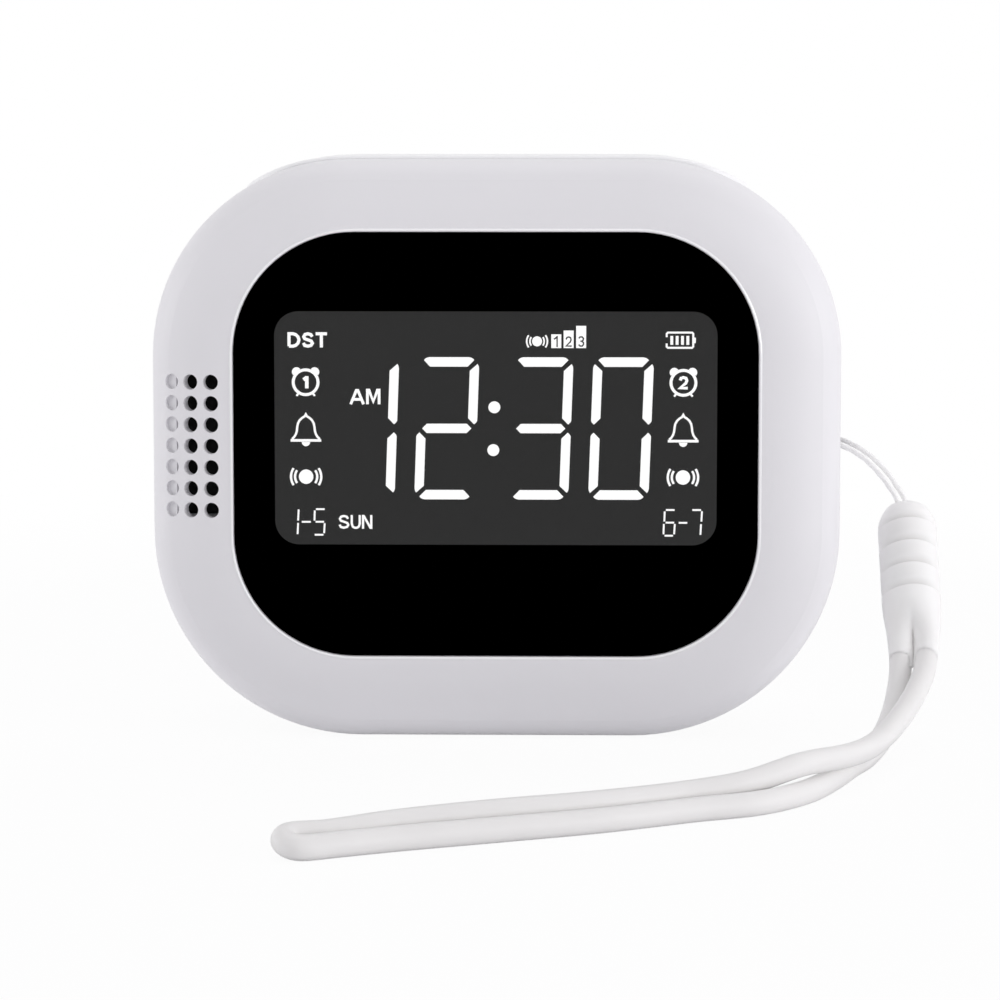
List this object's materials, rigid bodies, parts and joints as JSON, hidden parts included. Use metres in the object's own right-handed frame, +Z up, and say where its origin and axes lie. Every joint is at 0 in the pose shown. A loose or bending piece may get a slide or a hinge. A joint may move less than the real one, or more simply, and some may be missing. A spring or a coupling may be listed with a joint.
{
  "type": "vibrating alarm clock",
  "caption": "Upright rounded digital alarm clock with a black display panel, speaker grille, snooze bar, rear buttons, shaker motor and a wrist strap.",
  "frame": {"origin": "on the surface that the clock stands on, under the middle of the case", "axes": "+Z up, the display faces -Y, +X is right as seen from the front"},
  "size_m": [0.0989, 0.1091, 0.0728],
  "materials": {
    "white_plastic": "fine matte moulded ABS",
    "button_plastic": "satin moulded ABS",
    "clear_panel": "polished clear acrylic",
    "black_print": "black screen print",
    "tape": "foam adhesive",
    "display_glass": "dark liquid crystal glass",
    "inner_plastic": "natural moulded plastic",
    "contact_rubber": "silicone elastomer",
    "board": "green solder resist on glass fibre",
    "steel": "plated steel",
    "battery_foil": "laminated foil pouch",
    "black_plastic": "black moulded plastic",
    "brass": "sintered bronze",
    "heavy_metal": "pressed metal",
    "wire": "insulated wire",
    "strap_silicone": "white silicone",
    "strap_cord": "braided polyester"
  },
  "bodies": {
    "case": {"front_housing": "white_plastic", "rear_housing": "white_plastic", "front_lens": "clear_panel", "lens_mask": "black_print", "lens_tape": "tape", "lcd_panel": "display_glass", "lcd_holder": "inner_plastic", "backlight_guide": "inner_plastic", "backlight_strip": "inner_plastic", "reflector_sheet": "inner_plastic", "zebra_strip": "contact_rubber", "main_board": "board", "main_board_screws": "steel", "controller_chip": "black_plastic", "board_connectors": "inner_plastic", "snooze_switch": "black_plastic", "rear_board": "board", "rear_board_screws": "steel", "rear_switches": "black_plastic", "mode_switch_body": "black_plastic", "usb_shell": "steel", "usb_tongue": "black_plastic", "speaker_gasket": "tape", "speaker_frame": "black_plastic", "speaker_magnet": "steel", "battery_pad": "tape", "battery_cell": "battery_foil", "motor_cradle": "inner_plastic", "motor_clip": "steel", "motor_can": "steel", "motor_magnet": "black_plastic", "motor_bushing": "brass", "motor_end_cap": "inner_plastic", "case_screws": "steel", "ribbon_cable": "wire", "speaker_leads": "wire", "motor_leads": "wire", "battery_leads": "wire", "strap_pin": "steel", "strap_string": "strap_cord", "strap_sleeve": "strap_silicone", "strap_loop": "strap_silicone"},
    "snooze": {"snooze_button": "button_plastic", "snooze_plunger": "inner_plastic"},
    "alarm_one": {"alarm_one_button": "button_plastic", "alarm_one_plunger": "inner_plastic"},
    "time": {"time_button": "button_plastic", "time_plunger": "inner_plastic"},
    "alarm_two": {"alarm_two_button": "button_plastic", "alarm_two_plunger": "inner_plastic"},
    "up": {"up_button": "button_plastic", "up_plunger": "inner_plastic"},
    "down": {"down_button": "button_plastic", "down_plunger": "inner_plastic"},
    "mode_slide": {"mode_switch_knob": "black_plastic"},
    "rotor": {"motor_armature": "heavy_metal", "motor_shaft": "steel", "eccentric_weight": "heavy_metal"},
    "cone": {"speaker_cone": "black_plastic"}
  },
  "joints": [
    {"name": "snooze_press", "type": "slide", "parent": "case", "child": "snooze", "axis": [0, 0, -1], "range_m": [0, 0.0006], "stiffness_N_per_m": 1500},
    {"name": "alarm_one_press", "type": "slide", "parent": "case", "child": "alarm_one", "axis": [0, -1, 0], "range_m": [0, 0.0005], "stiffness_N_per_m": 1500},
    {"name": "time_press", "type": "slide", "parent": "case", "child": "time", "axis": [0, -1, 0], "range_m": [0, 0.0005], "stiffness_N_per_m": 1500},
    {"name": "alarm_two_press", "type": "slide", "parent": "case", "child": "alarm_two", "axis": [0, -1, 0], "range_m": [0, 0.0005], "stiffness_N_per_m": 1500},
    {"name": "up_press", "type": "slide", "parent": "case", "child": "up", "axis": [0, -1, 0], "range_m": [0, 0.0005], "stiffness_N_per_m": 1500},
    {"name": "down_press", "type": "slide", "parent": "case", "child": "down", "axis": [0, -1, 0], "range_m": [0, 0.0005], "stiffness_N_per_m": 1500},
    {"name": "mode_select", "type": "slide", "parent": "case", "child": "mode_slide", "axis": [1, 0, 0], "range_m": [-0.002, 0.002]},
    {"name": "motor_turn", "type": "hinge", "parent": "case", "child": "rotor", "pos_m": [0, 0.001, 0.0094], "axis": [1, 0, 0], "continuous": true},
    {"name": "cone_stroke", "type": "slide", "parent": "case", "child": "cone", "axis": [0, -1, 0], "range_m": [-0.0003, 0.0003], "stiffness_N_per_m": 800}
  ]
}
